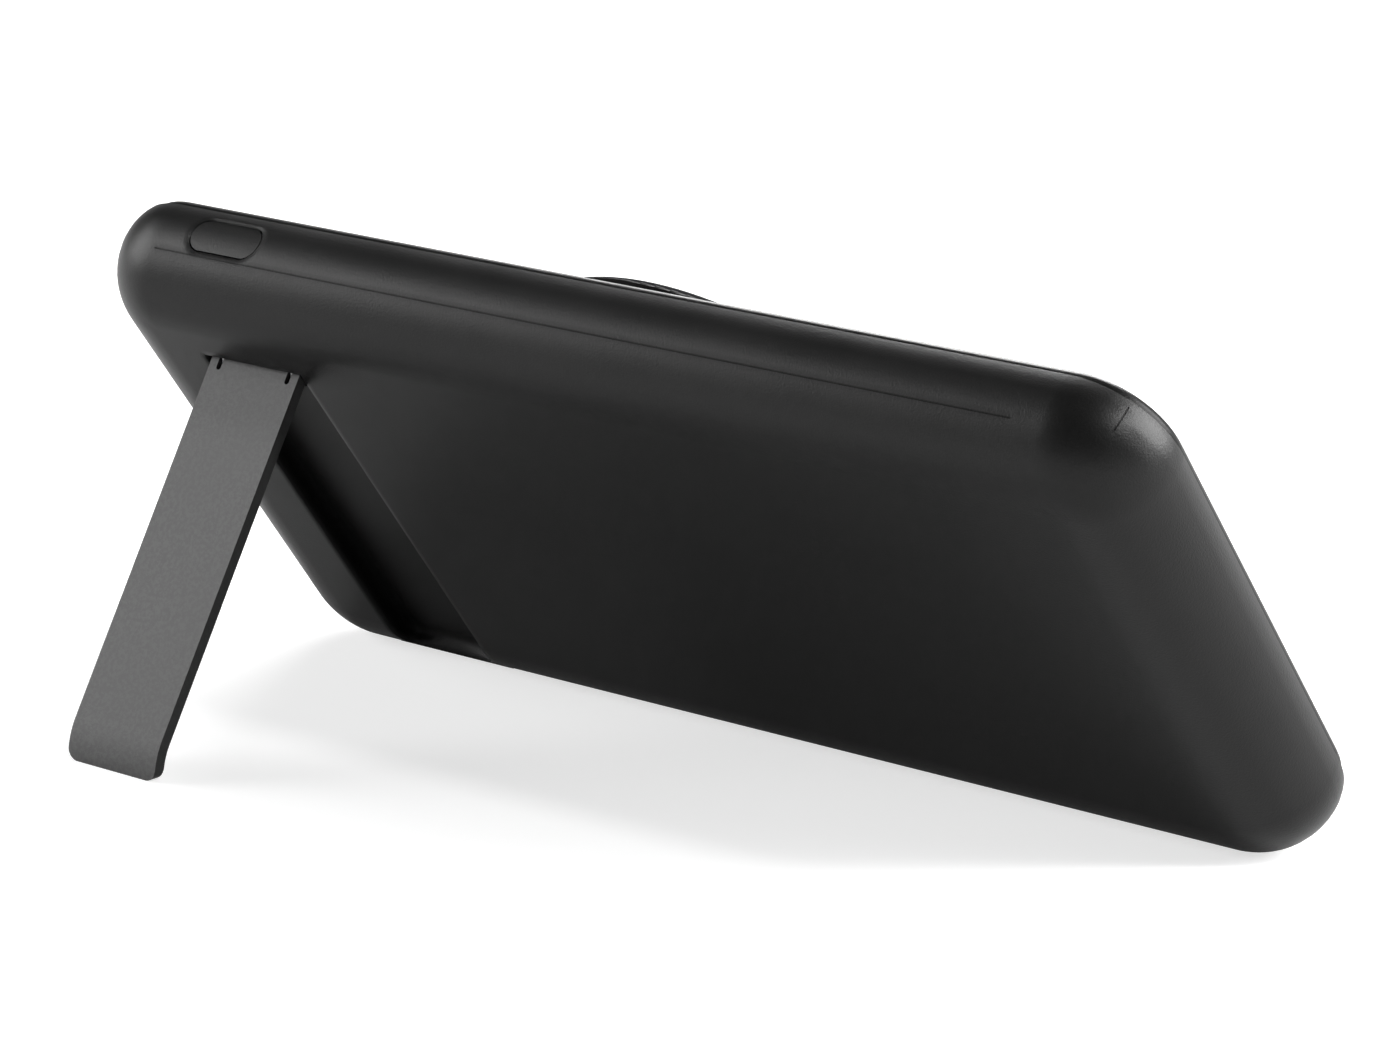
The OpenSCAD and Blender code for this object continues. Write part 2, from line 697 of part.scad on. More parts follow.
// Pan-head screw pointing up, its seat at z = 0
module screw(d, grip, head_d, head_h) {
    cylinder(d = d, h = grip);
    difference() {
        translate([0, 0, -head_h]) cylinder(d = head_d, h = head_h);
        for (a = [0, 90]) rotate([0, 0, a]) translate([-head_d / 3.5, -recess_w / 2, -head_h - past])
            cube([head_d / 1.75, recess_w, past + head_h * 0.55]);
    }
}

module board_screws() color(steel) posed() for (p = boss_places)
    translate([p[0], p[1], -board_z - board_t])
        screw(screw_d, board_t + screw_grip, screw_head_d, screw_head_h);

module usb_c_shell() color(steel) posed() {
    translate([0, port_c_y, -port_z]) difference() {
        oval_x(port_c_w, port_c_h, port_mouth, port_mouth + port_c_l);
        oval_x(port_c_w - 2 * port_sheet, port_c_h - 2 * port_sheet, port_mouth - past,
            port_mouth + port_c_l - port_sheet);
    }
    port_tabs(port_c_y, port_c_w, port_mouth + port_c_l - tab_in);
}

// Legs of a socket that lie on the board on each side of its notch
module port_tabs(y, w, x) {
    for (s = [-1, 1]) translate([x, y + s * (w / 2 + tab_w / 2 - 0.05), -board_z + tab_t / 2])
        cube([tab_l, tab_w + 0.1, tab_t], center = true);
}

module usb_c_tongue() color(chip_black) posed() translate([0, port_c_y, -port_z]) {
    back = port_mouth + port_c_l - port_sheet;
    translate([port_mouth + tongue_in, -tongue_c_w / 2, -tongue_c_t / 2])
        cube([back - port_mouth - tongue_in, tongue_c_w, tongue_c_t]);
    oval_x(port_c_w - 2 * port_sheet - 2 * fit, port_c_h - 2 * port_sheet - 2 * fit, back - 1.6, back);
}

module usb_a_shell() color(steel) posed() {
    translate([port_mouth, port_a_y - port_a_w / 2, -port_z - port_a_h / 2]) difference() {
        cube([port_a_l, port_a_w, port_a_h]);
        translate([-past, port_sheet, port_sheet])
            cube([port_a_l + past - port_sheet, port_a_w - 2 * port_sheet, port_a_h - 2 * port_sheet]);
        for (y = [port_a_w * 0.28, port_a_w * 0.72]) translate([3, y - 0.9, -past])
            cube([3.6, 1.8, port_a_h + 2 * past]);
    }
    port_tabs(port_a_y, port_a_w, port_mouth + port_a_l - tab_in);
}

module usb_a_tongue() color(chip_black) posed() {
    in_w = port_a_w - 2 * port_sheet - 2 * fit;
    in_h = port_a_h - 2 * port_sheet - 2 * fit;
    back = port_mouth + port_a_l - port_sheet;
    translate([back - 3, port_a_y - in_w / 2, -port_z - in_h / 2]) cube([3, in_w, in_h]);
    translate([port_mouth + tongue_in, port_a_y - tongue_a_w / 2, -port_z + tongue_a_t / 4])
        cube([back - port_mouth - tongue_in, tongue_a_w, tongue_a_t]);
}

module side_switch() color(chip_black) posed() difference() {
    translate([button_x - switch_l / 2, switch_front - switch_w, -board_z])
        cube([switch_l, switch_w, switch_h]);
    translate([button_x, switch_front + past, -plunger_z]) rotate([90, 0, 0])
        cylinder(d = plunger_d + 0.2, h = 2 + past);
}

module switch_plunger() color(clear_white) posed() translate([button_x, 0, -plunger_z]) rotate([90, 0, 0])
    translate([0, 0, -button_seat + flange_t + nub_l]) cylinder(d = plunger_d, h = 0.9 + 1.2);

// Button head cut flush with the rolled side, on a flange that stops behind the wall
module power_button() color(black_plastic) posed() {
    intersection() {
        translate([button_x, 0, -button_z])
            oval_y(button_l, button_h, button_seat - flange_t, body_w / 2 + past);
        translate([button_x, mid_w, 0]) rotate([90, 0, 90]) linear_extrude(button_l + 2, center = true)
            half_section(button_sunk, button_sunk, rim_d);
    }
    translate([button_x, 0, -button_z])
        oval_y(button_l + 2 * flange_side, button_h + 2 * flange_side, button_seat - flange_t, button_seat);
    translate([button_x, button_seat - flange_t + seat, -plunger_z]) rotate([90, 0, 0])
        cylinder(d = 2.2, h = nub_l + seat);
}

module leds() color(clear_white) posed() light_places()
    translate([pipe_back + 0.15, -led_size / 2, -board_z]) cube([led_size, led_size, led_h]);

module light_pipe() color(clear_white) posed() {
    span = (light_count - 1) * light_pitch + light_d;
    light_places() translate([-body_l / 2 + 0.15, 0, -light_z]) rotate([0, 90, 0])
        cylinder(d = light_d, h = pipe_back + body_l / 2 - 0.15);
    translate([pipe_front, light_y - span / 2, -light_z - light_d / 2]) cube([pipe_bar, span, light_d]);
}

module power_chokes() color(choke_grey) posed() for (y = [-choke_w * 0.3, -choke_w * 1.8])
    translate([board_x - board_l * 0.4, y, -board_z]) difference() {
        translate([-choke_w / 2, -choke_w / 2, 0]) cube([choke_w, choke_w, choke_h]);
        for (a = [0 : 90 : 270]) rotate([0, 0, a]) translate([choke_w / 2, choke_w / 2, choke_h / 2])
            rotate([0, 0, 45]) cube([choke_w * 0.2, choke_w / 2, choke_h + past], center = true);
    }

module control_chips() color(chip_black) posed() {
    chip(board_x - board_l * 0.35, choke_w * 1.1, 1);
    chip(board_x - board_l * 0.58, choke_w * 0.7, 0.8);
    chip(board_x - board_l * 0.26, -choke_w * 3.3, 1.1);
}

module chip(x, y, k) {
    translate([x, y, -board_z]) cube([chip_w * k, chip_w * k, chip_h]);
}

module capacitors() color(cap_tan) posed() for (i = [0 : 5])
    translate([board_x - board_l * 0.6 + i * cap_l * 1.2, -boss_y - cap_l, -board_z])
        cube([cap_l * 0.65, cap_l, cap_l * 0.6]);

// The stand folded shut: a knuckle, a flat plate and a tip curled like the body's edge
module stand_shut() {
    difference() {
        intersection() {
            translate([stand_x, 0, 0]) rotate([90, 0, 90]) linear_extrude(stand_w + 2 * past, center = true)
                stand_profile();
            stand_outline();
        }
        translate([stand_x, hinge_y, -hinge_z]) rotate([0, 90, 0])
            cylinder(d = pin_d + 2 * pin_gap, h = stand_w + 2, center = true);
        for (s = [-1, 1]) translate([stand_x + s * ear_x, 0, -2 * knuckle_r - past]) {
            translate([-slit_w / 2, hinge_y - slit_l + slit_w / 2, 0])
                cube([slit_w, slit_l + knuckle_r + past, 2 * knuckle_r + 2 * past]);
            translate([0, hinge_y - slit_l + slit_w / 2, 0])
                cylinder(d = slit_w, h = 2 * knuckle_r + 2 * past);
        }
    }
}

module stand_profile() {
    start = hinge_y - stand_l;
    translate([hinge_y, -hinge_z]) circle(r = knuckle_r);
    translate([start, -stand_t]) square([stand_l, stand_t]);
    translate([start, -curl_r]) intersection() {
        difference() {
            circle(r = curl_r);
            circle(r = curl_r - stand_t);
        }
        polygon([[0, 0], [0, 2 * curl_r], [-2 * curl_r * tan(tip_curl + foot_past), 2 * curl_r]]);
    }
}

// Outline of the stand seen square to its tip, with rounded corners at the foot
module stand_outline() {
    translate([stand_x, hinge_y - stand_l, -curl_r]) rotate([tip_curl, 0, 0])
        linear_extrude(4 * stand_l, center = true) {
            for (s = [-1, 1]) translate([s * (stand_w / 2 - tip_corner), tip_corner]) circle(r = tip_corner);
            translate([-stand_w / 2 + tip_corner, 0]) square([stand_w - 2 * tip_corner, 2 * tip_corner]);
            translate([-stand_w / 2, tip_corner]) square([stand_w, 2 * stand_l]);
        }
}

module kickstand() color(stand_grey) posed()
    translate([0, hinge_y, -hinge_z]) rotate([-open_angle, 0, 0]) translate([0, -hinge_y, hinge_z])
        stand_shut();

module hinge_pin() color(steel) posed() translate([stand_x, hinge_y, -hinge_z]) rotate([0, 90, 0])
    cylinder(d = pin_d, h = stand_w - 0.4, center = true);

module hinge_bracket() color(steel) posed() difference() {
    union() {
        translate([stand_x - bracket_l / 2, hinge_y - bracket_w / 2, -block_d - bracket_t])
            cube([bracket_l, bracket_w, bracket_t]);
        for (s = [-1, 1]) translate([stand_x + s * ear_x - ear_t / 2, hinge_y, 0]) {
            translate([0, -ear_w / 2, -block_d - bracket_t / 2])
                cube([ear_t, ear_w, block_d + bracket_t / 2 - hinge_z]);
            translate([0, 0, -hinge_z]) rotate([0, 90, 0]) cylinder(d = ear_w, h = ear_t);
        }
    }
    translate([stand_x, hinge_y, -hinge_z]) rotate([0, 90, 0])
        cylinder(d = pin_d + 2 * fit, h = stand_w, center = true);
    bracket_places() translate([0, 0, -block_d - bracket_t - past])
        cylinder(d = bracket_screw_d + 0.2, h = bracket_t + 2 * past);
}

module bracket_screws() color(steel) posed() bracket_places() translate([0, 0, -block_d - bracket_t])
    screw(bracket_screw_d, bracket_t + bracket_grip, bracket_head_d, bracket_head_h);

back_shell();
front_cover();
pad_skin();
magnet_ring();
magnet_backplate();
charging_coil();
ferrite_sheet();
coil_leads();
coil_foam();
battery_cell();
cell_tape();
cell_tabs();
main_board();
board_screws();
usb_c_shell();
usb_c_tongue();
usb_a_shell();
usb_a_tongue();
side_switch();
switch_plunger();
power_button();
leds();
light_pipe();
power_chokes();
control_chips();
capacitors();
kickstand();
hinge_pin();
hinge_bracket();
bracket_screws();
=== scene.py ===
"""The looks of a black wireless power bank that stands on its long edge and leans on its open stand."""
import math

import bpy
from mathutils import Matrix, Vector

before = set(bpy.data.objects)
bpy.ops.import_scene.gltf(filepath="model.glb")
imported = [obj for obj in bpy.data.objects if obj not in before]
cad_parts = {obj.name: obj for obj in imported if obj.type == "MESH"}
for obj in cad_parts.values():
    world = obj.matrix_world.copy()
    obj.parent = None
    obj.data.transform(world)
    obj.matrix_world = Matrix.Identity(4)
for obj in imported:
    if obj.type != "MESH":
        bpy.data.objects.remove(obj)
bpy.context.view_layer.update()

# The device frame of the part's source: x along the body, y across it, z out of its back face, in mm.
# The room's frame leans and lifts it, so that the body stands on its lower edge and on the open stand.
LEAN = math.radians(37.63529)
SHIFT = 3.101319
LIFT = 25.004102
MM = 0.001

# Sizes in mm that the areas below are worked out from
BODY_L = 150.0
BODY_W = 72.4
BODY_T = 13.4
CORNER_R = 10.7
POCKET_X = -51.2
POCKET_W = 15.6
LINE_DEPTH = 5.2
LINE_W = 0.16
# The corner line is toned a little wider than its groove, so that it still shows on the roll
CORNER_LINE_W = 0.20
CORNER_LINE_TURN = math.radians(48)

# Areas of the surface, as limits in mm: a span lies along x, across is along y and depth along z
POCKET_SPAN = (POCKET_X - POCKET_W / 2 - 1.0, POCKET_X + POCKET_W / 2 - 0.05)
POCKET_ACROSS = (-33.0, 24.6)
POCKET_DEPTH = (-12.0, -0.9)
POCKET_WALL_SPAN = (-62.0, -58.1)
POCKET_EDGE_SPAN = (-44.8, -42.0)
POCKET_EDGE_ACROSS = (-34.0, 25.0)
LABEL_SPAN = (-41.5, -13.0)
LABEL_ACROSS = (-29.5, 21.5)
LINE_SPAN = (11.5 - BODY_L / 2, BODY_L / 2 - 14.5)
LINE_ACROSS = (20.0, 40.0)
CORNER_LINE_SPAN = (BODY_L / 2 - CORNER_R, 80.0)
CORNER_LINE_DEPTH = (-10.6, -7.5)
EASED_DEPTH = (-10.6, 5.0)
FRONT_DEPTH = (-20.0, 0.1 - BODY_T)


def turned(v):
    """A direction in the device frame, as a direction in the room."""
    s, c = math.sin(LEAN), math.cos(LEAN)
    return Vector((v[0], -v[1] * s - v[2] * c, v[1] * c - v[2] * s))


def turned_back(v):
    """A direction in the room, as a direction in the device frame."""
    s, c = math.sin(LEAN), math.cos(LEAN)
    return Vector((v[0], -v[1] * s + v[2] * c, -v[1] * c - v[2] * s))


def placed(v):
    """A point in the device frame in mm, as a point in the room in metres."""
    return (turned(v) + Vector((0, SHIFT, LIFT))) * MM


def grey(value, tint=(1.0, 1.0, 1.0)):
    """A grey, or one with a faint tint."""
    return tuple(value * t for t in tint)


def scaled(colour, factor, offset=0.0):
    """A colour made lighter or darker, at most 1 in each channel."""
    return tuple(min(1, c * factor + offset) for c in colour)


# Node helpers
class Nodes:
    """Builds one material's node tree with short calls."""

    def __init__(self, name):
        self.material = bpy.data.materials.new(name)
        self.material.use_nodes = True
        self.tree = self.material.node_tree
        self.shader = self.tree.nodes["Principled BSDF"]
        self.coord = None

    def add(self, kind, **values):
        node = self.tree.nodes.new(kind)
        for key, value in values.items():
            setattr(node, key, value)
        return node

    def link(self, a, b):
        self.tree.links.new(a, b)

    def place(self):
        """The device-frame position in metres, so that a texture lies square on the body."""
        if self.coord is None:
            source = self.add("ShaderNodeTexCoord")
            # The mapping turns a point first and then shifts it, which undoes placed()
            back = self.add("ShaderNodeMapping", vector_type="POINT")
            back.inputs["Rotation"].default_value = (-(math.pi / 2 + LEAN), 0, 0)
            shift = turned_back(Vector((0, SHIFT, LIFT)) * MM)
            back.inputs["Location"].default_value = (-shift[0], -shift[1], -shift[2])
            self.link(source.outputs["Object"], back.inputs["Vector"])
            self.coord = back.outputs["Vector"]
        return self.coord

    def stretched(self, stretch):
        """The device-frame position, scaled by a factor along each axis."""
        if stretch is None:
            return self.place()
        node = self.add("ShaderNodeMapping", vector_type="POINT")
        node.inputs["Scale"].default_value = stretch
        self.link(self.place(), node.inputs["Vector"])
        return node.outputs["Vector"]

    def noise(self, scale, detail=3.0, rough=0.6, distort=0.0, stretch=None):
        node = self.add("ShaderNodeTexNoise")
        node.inputs["Scale"].default_value = scale
        node.inputs["Detail"].default_value = detail
        node.inputs["Roughness"].default_value = rough
        node.inputs["Distortion"].default_value = distort
        self.link(self.stretched(stretch), node.inputs["Vector"])
        return node.outputs["Fac"]

    def cells(self, scale, stretch=None):
        """The distance from the middle of the nearest cell."""
        node = self.add("ShaderNodeTexVoronoi", feature="F1")
        node.inputs["Scale"].default_value = scale
        self.link(self.stretched(stretch), node.inputs["Vector"])
        return node.outputs["Distance"]

    def ramp(self, value, *stops, smooth=True):
        """A value put through stops, each a position and the grey there."""
        node = self.add("ShaderNodeValToRGB")
        node.color_ramp.interpolation = "EASE" if smooth else "LINEAR"
        while len(node.color_ramp.elements) < len(stops):
            node.color_ramp.elements.new(0.5)
        for element, (at, level) in zip(node.color_ramp.elements, stops):
            element.position = at
            element.color = (level,) * 3 + (1,)
        self.link(value, node.inputs["Fac"])
        return node.outputs["Color"]

    def math(self, kind, a, b=0.0, clamp=False):
        node = self.add("ShaderNodeMath", operation=kind, use_clamp=clamp)
        for slot, value in zip(node.inputs, (a, b)):
            if isinstance(value, (int, float)):
                slot.default_value = value
            else:
                self.link(value, slot)
        return node.outputs[0]

    def times(self, a, b):
        return self.math("MULTIPLY", a, b)

    def plus(self, a, b, clamp=False):
        return self.math("ADD", a, b, clamp)

    def less(self, a, b, clamp=False):
        return self.math("SUBTRACT", a, b, clamp)

    def larger(self, a, b):
        return self.math("MAXIMUM", a, b)

    def mix(self, share, a, b):
        """One colour or the other, by a share."""
        node = self.add("ShaderNodeMix", data_type="RGBA", blend_type="MIX")
        self.link(share, node.inputs["Factor"])
        for slot, value in ((node.inputs["A"], a), (node.inputs["B"], b)):
            if isinstance(value, tuple):
                slot.default_value = (*value, 1)
            else:
                self.link(value, slot)
        return node.outputs["Result"]

    def toned(self, tone, share, amount, colour):
        """A tone that another colour covers by a share, up to an amount."""
        return self.mix(self.times(share, amount), tone, colour)

    def edges(self):
        """A painted highlight: bright on the sharp outer edges."""
        geometry = self.add("ShaderNodeNewGeometry")
        return self.ramp(geometry.outputs["Pointiness"], (0.52, 0.0), (0.6, 1.0))

    def bump(self, height, distance, strength, under=None):
        node = self.add("ShaderNodeBump")
        node.inputs["Strength"].default_value = strength
        node.inputs["Distance"].default_value = distance
        self.link(height, node.inputs["Height"])
        if under is not None:
            self.link(under, node.inputs["Normal"])
        return node.outputs["Normal"]

    def eased(self, radius, where):
        """The surface's normal, eased over its edges as a mould leaves them, where a mask is 1."""
        soft = self.add("ShaderNodeBevel", samples=6)
        soft.inputs["Radius"].default_value = radius
        plain = self.add("ShaderNodeNewGeometry")
        mix = self.add("ShaderNodeMix", data_type="VECTOR")
        sockets = [socket for socket in mix.inputs if socket.enabled]
        for socket, value in zip(sockets, (where, plain.outputs["Normal"], soft.outputs["Normal"])):
            self.link(value, socket)
        return [socket for socket in mix.outputs if socket.enabled][0]

    def between(self, value, limits, soft):
        """1 where a value in metres is between two limits in mm, else 0, fading within soft mm of each."""
        sides = []
        for at, ends in zip(limits, ((0.0, 1.0), (1.0, 0.0))):
            step = self.add("ShaderNodeMapRange", interpolation_type="SMOOTHSTEP")
            step.inputs["From Min"].default_value = (at - soft) * MM
            step.inputs["From Max"].default_value = (at + soft) * MM
            step.inputs["To Min"].default_value, step.inputs["To Max"].default_value = ends
            self.link(value, step.inputs["Value"])
            sides.append(step.outputs[0])
        return self.times(*sides)

    def band(self, axis, limits, soft):
        """1 between two limits along an axis of the device frame, where x, y and z are 0, 1 and 2."""
        parts = self.add("ShaderNodeSeparateXYZ")
        self.link(self.place(), parts.inputs[0])
        return self.between(parts.outputs[axis], limits, soft)

    def along(self, direction, limits, soft):
        """1 between two limits along any direction of the device frame."""
        dot = self.add("ShaderNodeVectorMath", operation="DOT_PRODUCT")
        self.link(self.place(), dot.inputs[0])
        dot.inputs[1].default_value = direction
        return self.between(dot.outputs["Value"], limits, soft)

    def set(self, **values):
        """Sets or links sockets of the shader, and gives the material."""
        for key, value in values.items():
            socket = self.shader.inputs[key.replace("_", " ")]
            if hasattr(value, "is_output"):
                self.link(value, socket)
            else:
                socket.default_value = value
        return self.material


# The moulded black plastic of the shell, the cover and the button, with lengths in metres
PLASTIC_IOR = 1.46
SHELL_SHINE = 0.28
COVER_SHINE = 0.14
GRAIN_DEPTH = 0.00004
GRAIN_STRENGTH = 0.55
EASING_R = 0.0012


def moulded(n, base, rough):
    """Tone, roughness and matt grain of a moulding with faint mottling and a few dust specks."""
    grain = n.noise(4200, detail=2.0)
    cloud = n.noise(60, detail=4.0, distort=0.4)
    specks = n.ramp(n.cells(1500), (0.0, 1.0), (0.05, 0.0), smooth=False)
    rare = n.ramp(n.noise(700, detail=1.0), (0.58, 0.0), (0.66, 1.0))
    mottling = n.ramp(cloud, (0.3, 0.0), (0.7, 1.0))
    tone = n.mix(mottling, grey(base * 0.86), grey(base * 1.12, (1.0, 0.995, 0.985)))
    # Painted highlight: the sharp outer edges are toned lighter
    tone = n.toned(tone, n.edges(), 0.35, grey(base * 2.6))
    tone = n.toned(tone, n.times(specks, rare), 0.5, grey(0.16))
    wear = n.times(n.ramp(cloud, (0.35, 0.0), (0.75, 1.0)), 0.05)
    rough_value = n.plus(n.plus(n.times(grain, 0.10), rough - 0.05), wear)
    return tone, rough_value, grain


def pocket_area(n):
    """1 on the walls and the floor of the stand's pocket."""
    across = n.band(1, POCKET_ACROSS, 0.3)
    return n.times(n.times(n.band(0, POCKET_SPAN, 0.05), n.band(2, POCKET_DEPTH, 0.5)), across)


def line_area(n):
    """1 in the long parting line of the upper side and in the short one round the upper corner."""
    depth = (-LINE_DEPTH - LINE_W / 2, -LINE_DEPTH + LINE_W / 2)
    long_line = n.times(n.band(2, depth, 0.05), n.band(0, LINE_SPAN, 0.2))
    long_line = n.times(long_line, n.band(1, LINE_ACROSS, 0.5))
    corner_x = BODY_L / 2 - CORNER_R
    corner_y = BODY_W / 2 - CORNER_R
    side = (-math.sin(CORNER_LINE_TURN), math.cos(CORNER_LINE_TURN), 0)
    # Where the corner line lies, measured along the direction across it
    middle = corner_x * side[0] + corner_y * side[1]
    width = (middle - CORNER_LINE_W / 2, middle + CORNER_LINE_W / 2)
    short_line = n.times(n.along(side, width, 0.05), n.band(2, CORNER_LINE_DEPTH, 0.2))
    short_line = n.times(short_line, n.band(0, CORNER_LINE_SPAN, 0.2))
    return n.plus(long_line, short_line, clamp=True)


def eased_area(n):
    """1 on the rolled back, short of the seam, and less on the pocket's sharper edge."""
    edge = n.times(n.band(0, POCKET_EDGE_SPAN, 0.3), n.band(1, POCKET_EDGE_ACROSS, 0.5))
    return n.less(n.band(2, EASED_DEPTH, 0.3), n.times(edge, 0.65), clamp=True)


def shell_black(name, base, rough):
    """The back shell's plastic, with a bare etched label area, a duller pocket that is also painted darker as
    shade, and dark parting lines.
    """
    n = Nodes(name)
    tone, rough_value, grain = moulded(n, base, rough)
    label = n.times(n.band(0, LABEL_SPAN, 2.5), n.band(1, LABEL_ACROSS, 2.0))
    etched = n.times(label, n.ramp(n.cells(1900), (0.1, 1.0), (0.45, 0.0)))
    tone = n.toned(tone, etched, 0.10, grey(base * 2.0))
    rough_value = n.plus(rough_value, n.times(label, 0.01))
    height = n.plus(grain, n.times(etched, 0.15))
    pocket = pocket_area(n)
    # Painted shade: the pocket is toned darker, and the shine on its left wall is lowered so that the wall
    # stays dark, as they lie in shade
    wall = n.times(pocket, n.band(0, POCKET_WALL_SPAN, 0.6))
    tone = n.toned(tone, pocket, 0.15, grey(base * 0.5))
    rough_value = n.plus(rough_value, n.times(pocket, 0.08))
    shine = n.less(SHELL_SHINE, n.plus(n.times(pocket, 0.02), n.times(wall, 0.22)))
    lines = line_area(n)
    tone = n.toned(tone, lines, 0.8, grey(0.001))
    shine = n.times(shine, n.less(1.0, n.times(lines, 0.6)))
    normal = n.bump(height, GRAIN_DEPTH, GRAIN_STRENGTH, under=n.eased(EASING_R, eased_area(n)))
    return n.set(Base_Color=tone, Roughness=rough_value, Normal=normal, IOR=PLASTIC_IOR,
                 Specular_IOR_Level=shine)


def cover_black(name, base, rough):
    """The front cover's plastic, satin at its rim and duller on its front."""
    n = Nodes(name)
    tone, rough_value, grain = moulded(n, base, rough)
    front = n.band(2, FRONT_DEPTH, 0.08)
    rough_value = n.plus(rough_value, n.times(front, 0.15))
    shine = n.less(COVER_SHINE, n.times(front, 0.10))
    normal = n.bump(grain, GRAIN_DEPTH, GRAIN_STRENGTH)
    return n.set(Base_Color=tone, Roughness=rough_value, Normal=normal, IOR=PLASTIC_IOR,
                 Specular_IOR_Level=shine)


def button_black(name, base, rough):
    """The button's plastic, the same all over."""
    n = Nodes(name)
    tone, rough_value, grain = moulded(n, base, rough)
    normal = n.bump(grain, GRAIN_DEPTH, GRAIN_STRENGTH)
    return n.set(Base_Color=tone, Roughness=rough_value, Normal=normal, IOR=PLASTIC_IOR,
                 Specular_IOR_Level=SHELL_SHINE)


# The other materials
def powder_coat(name, base):
    """Fine textured coat on the stand's metal: peppery, lighter on outer edges as a painted highlight, and
    with painted shade on the sheet's sides.
    """
    n = Nodes(name)
    grain = n.noise(1900, rough=0.70)
    cloud = n.ramp(n.noise(90), (0.3, 0.0), (0.7, 1.0))
    pits = n.ramp(n.cells(1800), (0.0, 0.55), (0.14, 0.0))
    pepper = n.ramp(grain, (0.40, 0.0), (0.62, 1.0))
    # Painted shade: the sheet's cut sides face along x, and are toned dark as they lie in shade
    parts = n.add("ShaderNodeSeparateXYZ")
    n.link(n.add("ShaderNodeTexCoord").outputs["Normal"], parts.inputs[0])
    painted_side_shade = n.ramp(n.math("ABSOLUTE", parts.outputs[0]), (0.6, 0.0), (0.9, 1.0))
    tone = n.mix(pepper, grey(base * 0.66), grey(base * 1.32, (1.0, 0.998, 0.99)))
    tone = n.toned(tone, cloud, 0.35, grey(base * 0.88))
    tone = n.mix(pits, tone, grey(base * 0.55))
    # Painted highlight: the sharp outer edges are toned lighter
    tone = n.toned(tone, n.edges(), 0.5, grey(base * 1.7))
    tone = n.toned(tone, painted_side_shade, 0.85, grey(base * 0.15))
    rough_value = n.plus(n.times(grain, 0.16), 0.50)
    normal = n.bump(grain, 0.00006, 0.6)
    return n.set(Base_Color=tone, Roughness=rough_value, Normal=normal, IOR=1.5, Specular_IOR_Level=0.4)


def plastic(name, colour, rough, grain=2500, depth=0.00003, **more):
    """Plain moulding with a fine surface and slight variation."""
    n = Nodes(name)
    fine = n.noise(grain)
    tone = n.mix(n.noise(140), scaled(colour, 0.88), scaled(colour, 1.12))
    # Painted highlight: the sharp outer edges are toned lighter
    tone = n.toned(tone, n.edges(), 0.3, scaled(colour, 1.6, 0.02))
    rough_value = n.plus(n.times(fine, 0.12), rough - 0.06)
    return n.set(Base_Color=tone, Roughness=rough_value, Normal=n.bump(fine, depth, 0.5), **more)


def metal(name, colour, rough, stretch=(1, 1, 1)):
    """Bare metal, with drawing lines where it is stretched."""
    n = Nodes(name)
    lines = n.noise(1800, detail=4.0, rough=0.65, stretch=stretch)
    cloud = n.noise(160)
    tone = n.mix(lines, scaled(colour, 0.86), scaled(colour, 1.08))
    # Painted highlight: the sharp outer edges are toned lighter
    tone = n.toned(tone, n.edges(), 0.4, scaled(colour, 1.25))
    rough_value = n.plus(n.times(n.plus(lines, cloud), 0.10), rough - 0.10)
    normal = n.bump(lines, 0.00002, 0.4)
    return n.set(Base_Color=tone, Roughness=rough_value, Metallic=1.0, Normal=normal)


def winding(name):
    """Enamelled copper wire."""
    n = Nodes(name)
    lacquer = n.noise(900)
    tone = n.mix(lacquer, (0.55, 0.20, 0.07), (0.74, 0.34, 0.14))
    rough_value = n.plus(n.times(lacquer, 0.12), 0.22)
    return n.set(Base_Color=tone, Roughness=rough_value, Metallic=1.0, Coat_Weight=0.4, Coat_Roughness=0.15)


def foil(name):
    """The cell's satin pouch, slightly creased."""
    n = Nodes(name)
    crease = n.noise(220, detail=5.0, distort=1.2)
    tone = n.mix(crease, (0.52, 0.54, 0.56), (0.70, 0.72, 0.74))
    rough_value = n.plus(n.times(n.noise(2600, detail=2.0), 0.12), 0.28)
    return n.set(Base_Color=tone, Roughness=rough_value, Metallic=0.9, Normal=n.bump(crease, 0.00015, 0.5))


def circuit_board(name):
    """Green lacquer over tracks and a woven base."""
    n = Nodes(name)
    tracks = n.ramp(n.cells(420, stretch=(1, 0.55, 1)), (0.10, 0.0), (0.16, 1.0))
    weave = n.noise(2400, detail=2.0, stretch=(1, 1, 0.2))
    tone = n.mix(tracks, (0.020, 0.085, 0.045), (0.034, 0.150, 0.080))
    tone = n.toned(tone, weave, 0.25, (0.05, 0.19, 0.10))
    rough_value = n.plus(n.times(weave, 0.12), 0.28)
    normal = n.bump(tracks, 0.00004, 0.4)
    return n.set(Base_Color=tone, Roughness=rough_value, Normal=normal, Coat_Weight=0.2, Coat_Roughness=0.2)


def foam(name):
    """Dull dark foam with open pores."""
    n = Nodes(name)
    pores = n.cells(1700)
    tone = n.mix(n.ramp(pores, (0.05, 0.0), (0.5, 1.0)), (0.03, 0.03, 0.032), (0.10, 0.10, 0.105))
    rough_value = n.plus(n.times(pores, 0.1), 0.85)
    return n.set(Base_Color=tone, Roughness=rough_value, Normal=n.bump(pores, 0.0002, 0.7))


